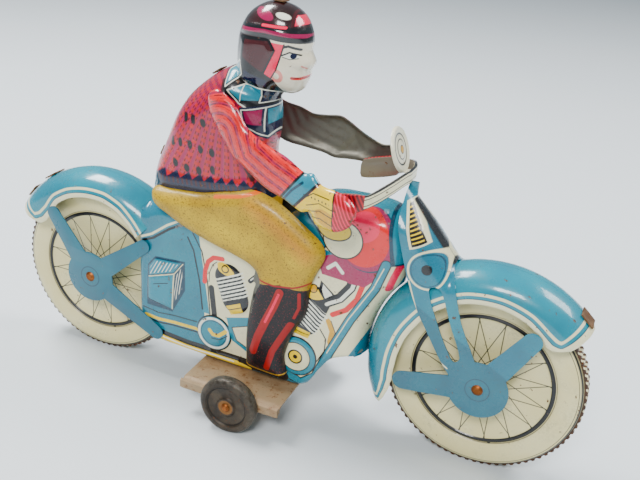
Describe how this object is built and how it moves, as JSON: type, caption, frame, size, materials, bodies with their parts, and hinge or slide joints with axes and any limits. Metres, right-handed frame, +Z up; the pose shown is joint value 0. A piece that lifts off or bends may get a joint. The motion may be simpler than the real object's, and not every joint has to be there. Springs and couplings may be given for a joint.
{
  "type": "toy motorcycle",
  "caption": "Clockwork tin toy motorcycle with a seated rider, printed pressed-tin halves, ribbed wheels, small side wheels on a cross bracket and a winding key.",
  "frame": {"origin": "on the floor under the middle of the toy", "axes": "+X is the way it drives, +Y to the rider's left, +Z up"},
  "size_m": [0.1859, 0.0534, 0.1231],
  "materials": {
    "machine_enamel": "glossy printed tinplate, teal",
    "hub_enamel": "glossy printed tinplate, blue",
    "rider_print": "printed tinplate, red, mustard and black",
    "sleeve_print": "printed tinplate, red with black dashes",
    "bar_print": "printed tinplate, cream",
    "wheel_print": "printed tinplate, cream with black rim",
    "tread_print": "ribbed printed tinplate, brown",
    "bracket_paint": "worn grey paint",
    "side_wheel_paint": "dark worn paint",
    "rivet_steel": "worn, rusty steel",
    "tab_tin": "bent tin tongue, worn to the metal",
    "motor_steel": "plain steel",
    "gear_brass": "plain brass",
    "key_steel": "nickelled steel"
  },
  "bodies": {
    "chassis": {"machine_half_right": "machine_enamel", "front_fender_right": "machine_enamel", "fork_plate_right": "hub_enamel", "rider_half_right": "rider_print", "arm_right": "sleeve_print", "motor_plate_right": "motor_steel", "machine_half_left": "machine_enamel", "front_fender_left": "machine_enamel", "fork_plate_left": "hub_enamel", "rider_half_left": "rider_print", "arm_left": "sleeve_print", "motor_plate_left": "motor_steel", "handlebar": "bar_print", "lamp": "bar_print", "rear_fender_tabs": "tab_tin", "front_fender_tab": "tab_tin", "rider_seam_tabs": "tab_tin", "front_axle": "rivet_steel", "side_axle": "rivet_steel", "bracket": "bracket_paint", "motor_pillars": "motor_steel", "spring_post": "motor_steel", "mainspring": "motor_steel", "idler_stub": "motor_steel"},
    "front_wheel": {"front_wheel_disc_right": "wheel_print", "front_wheel_disc_left": "wheel_print", "front_wheel_tread": "tread_print", "front_hub_tube": "rivet_steel"},
    "rear_wheel": {"rear_wheel_disc_right": "wheel_print", "rear_wheel_disc_left": "wheel_print", "rear_wheel_tread": "tread_print", "rear_axle": "rivet_steel", "axle_pinion": "gear_brass"},
    "side_wheel_right": {"side_wheel_right": "side_wheel_paint"},
    "side_wheel_left": {"side_wheel_left": "side_wheel_paint"},
    "idler": {"idler_gear": "gear_brass"},
    "great_wheel": {"great_wheel": "gear_brass", "click_spring": "motor_steel"},
    "winder": {"winding_key": "key_steel", "winding_arbor": "motor_steel", "ratchet_wheel": "motor_steel"}
  },
  "joints": [
    {"name": "front_wheel_spin", "type": "hinge", "parent": "chassis", "child": "front_wheel", "pos_m": [0.06446, 0, 0.0285], "axis": [0, 1, 0], "continuous": true},
    {"name": "rear_wheel_spin", "type": "hinge", "parent": "chassis", "child": "rear_wheel", "pos_m": [-0.06394, 0, 0.0285], "axis": [0, 1, 0], "continuous": true},
    {"name": "side_wheel_right_spin", "type": "hinge", "parent": "chassis", "child": "side_wheel_right", "pos_m": [-0.004, 0, 0.009], "axis": [0, 1, 0], "continuous": true},
    {"name": "side_wheel_left_spin", "type": "hinge", "parent": "chassis", "child": "side_wheel_left", "pos_m": [-0.004, 0, 0.009], "axis": [0, 1, 0], "continuous": true},
    {"name": "idler_spin", "type": "hinge", "parent": "chassis", "child": "idler", "pos_m": [-0.04561, 0, 0.03043], "axis": [0, 1, 0], "continuous": true},
    {"name": "great_wheel_spin", "type": "hinge", "parent": "chassis", "child": "great_wheel", "pos_m": [-0.02516, 0, 0.03258], "axis": [0, 1, 0], "continuous": true},
    {"name": "winding", "type": "hinge", "parent": "great_wheel", "child": "winder", "pos_m": [-0.02516, 0, 0.03258], "axis": [0, 1, 0], "range_deg": [-1800, 0], "deforming": ["mainspring", "click_spring"]}
  ],
  "couplings": [
    {"joint": "idler_spin", "follows": "rear_wheel_spin", "ratio": -0.3},
    {"joint": "great_wheel_spin", "follows": "rear_wheel_spin", "ratio": 0.0625}
  ]
}
